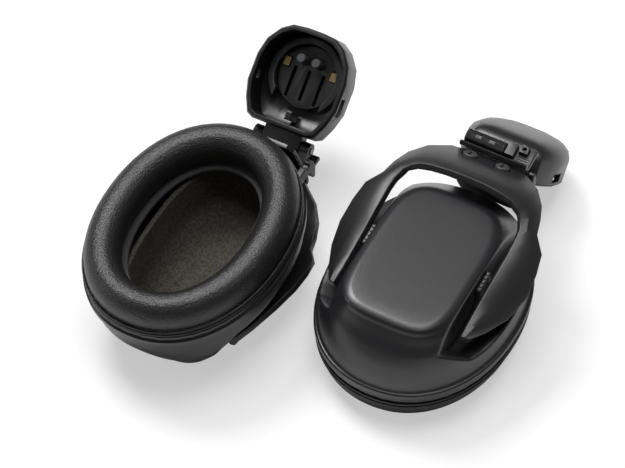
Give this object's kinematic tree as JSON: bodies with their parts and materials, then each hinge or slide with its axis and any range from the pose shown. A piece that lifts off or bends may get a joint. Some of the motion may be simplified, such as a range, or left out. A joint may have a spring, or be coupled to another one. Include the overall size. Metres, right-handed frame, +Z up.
{
  "type": "helmet-mounted ear defenders",
  "caption": "Pair of oval ear-defender muffs with cushions, tilting cups in sliding yokes and folding attachment heads for a safety helmet's side slots.",
  "frame": {"origin": "centre of the pair's bounding box, on the surface that both muffs lie on", "axes": "+Z up, +X from the left muff to the right muff, +Y towards the attachment heads"},
  "size_m": [0.202, 0.1658, 0.0639],
  "materials": {
    "cup_plastic": "satin moulded ABS",
    "ring_plastic": "satin moulded ABS",
    "foam": "open-cell foam",
    "felt": "felt",
    "leatherette": "fine-grained leatherette",
    "brass": "bright rolled brass",
    "grey_nylon": "satin nylon",
    "pin_steel": "ground steel",
    "yoke_plastic": "fine-textured nylon",
    "carrier_plastic": "fine-textured nylon"
  },
  "bodies": {
    "right_cup": {"right_cup_shell": "cup_plastic", "right_foam_liner": "foam", "right_backing_ring": "ring_plastic", "right_felt_ring": "felt", "right_ear_cushion": "leatherette"},
    "right_sliders": {"right_pivot_slider_a": "grey_nylon", "right_pivot_slider_b": "grey_nylon", "right_pivot_pin_a": "carrier_plastic", "right_pivot_pin_b": "carrier_plastic"},
    "right_yoke": {"right_yoke": "yoke_plastic", "right_crossbar_stud_a": "grey_nylon", "right_crossbar_stud_b": "grey_nylon", "right_carrier_barrel": "carrier_plastic", "right_carrier_flange": "carrier_plastic", "right_carrier_blade": "carrier_plastic", "right_carrier_plate": "carrier_plastic", "right_side_bar": "yoke_plastic", "right_carrier_knuckle_a": "carrier_plastic", "right_carrier_knuckle_b": "carrier_plastic", "right_fold_pin": "pin_steel", "right_fold_spring": "brass"},
    "right_head": {"right_head_housing": "carrier_plastic", "right_latch_rib": "carrier_plastic", "right_retaining_ring": "carrier_plastic", "right_disc_hub": "carrier_plastic"},
    "right_disc": {"right_head_disc": "carrier_plastic", "right_disc_pin_a": "grey_nylon", "right_disc_pin_b": "grey_nylon", "right_brass_spring_a": "brass", "right_brass_spring_b": "brass"},
    "left_cup": {"left_cup_shell": "cup_plastic", "left_foam_liner": "foam", "left_backing_ring": "ring_plastic", "left_felt_ring": "felt", "left_ear_cushion": "leatherette"},
    "left_sliders": {"left_pivot_slider_a": "grey_nylon", "left_pivot_slider_b": "grey_nylon", "left_pivot_pin_a": "carrier_plastic", "left_pivot_pin_b": "carrier_plastic"},
    "left_yoke": {"left_yoke": "yoke_plastic", "left_crossbar_stud_a": "grey_nylon", "left_crossbar_stud_b": "grey_nylon", "left_carrier_barrel": "carrier_plastic", "left_carrier_flange": "carrier_plastic", "left_carrier_blade": "carrier_plastic", "left_carrier_plate": "carrier_plastic", "left_side_bar": "yoke_plastic", "left_carrier_knuckle_a": "carrier_plastic", "left_carrier_knuckle_b": "carrier_plastic", "left_fold_pin": "pin_steel", "left_fold_spring": "brass"},
    "left_head": {"left_head_housing": "carrier_plastic", "left_latch_rib": "carrier_plastic", "left_retaining_ring": "carrier_plastic", "left_disc_hub": "carrier_plastic"},
    "left_disc": {"left_head_disc": "carrier_plastic", "left_disc_pin_a": "grey_nylon", "left_disc_pin_b": "grey_nylon", "left_brass_spring_a": "brass", "left_brass_spring_b": "brass"}
  },
  "joints": [
    {"name": "right_cup_tilt", "type": "hinge", "parent": "right_cup", "child": "right_sliders", "pos_m": [0.03746, -0.03197, 0.0403], "axis": [0.8805, -0.4741, 0], "range_deg": [-5.4, 5.6]},
    {"name": "right_cup_height", "type": "slide", "parent": "right_sliders", "child": "right_yoke", "axis": [0.4701, 0.8731, 0.1288], "range_m": [0, 0.012]},
    {"name": "right_head_fold", "type": "hinge", "parent": "right_yoke", "child": "right_head", "pos_m": [0.06988, 0.02824, 0.03869], "axis": [0.8805, -0.4741, 0], "range_deg": [-6.5, 56.5]},
    {"name": "right_muff_swing", "type": "hinge", "parent": "right_head", "child": "right_disc", "pos_m": [0.08006, 0.04715, 0.01996], "axis": [0.3117, 0.5788, 0.7536], "range_deg": [-40, 40]},
    {"name": "left_cup_tilt", "type": "hinge", "parent": "left_cup", "child": "left_sliders", "pos_m": [-0.05327, -0.01481, 0.01348], "axis": [-0.8629, 0.5001, -0.0729], "range_deg": [-1, 10]},
    {"name": "left_cup_height", "type": "slide", "parent": "left_sliders", "child": "left_yoke", "axis": [0.4983, 0.866, 0.042], "range_m": [0, 0.012]},
    {"name": "left_head_fold", "type": "hinge", "parent": "left_yoke", "child": "left_head", "pos_m": [-0.02046, 0.04373, 0.02669], "axis": [-0.8629, 0.5001, -0.0729], "range_deg": [-19.3, 43.7]},
    {"name": "left_muff_swing", "type": "hinge", "parent": "left_head", "child": "left_disc", "pos_m": [-0.01033, 0.06377, 0.04423], "axis": [0.3591, 0.5053, -0.7847], "range_deg": [-40, 40]},
    {"name": "left_muff_lift", "type": "slide", "parent": "right_cup", "child": "left_cup", "axis": [0, 0, 1], "range_m": [0, 0.12]}
  ]
}
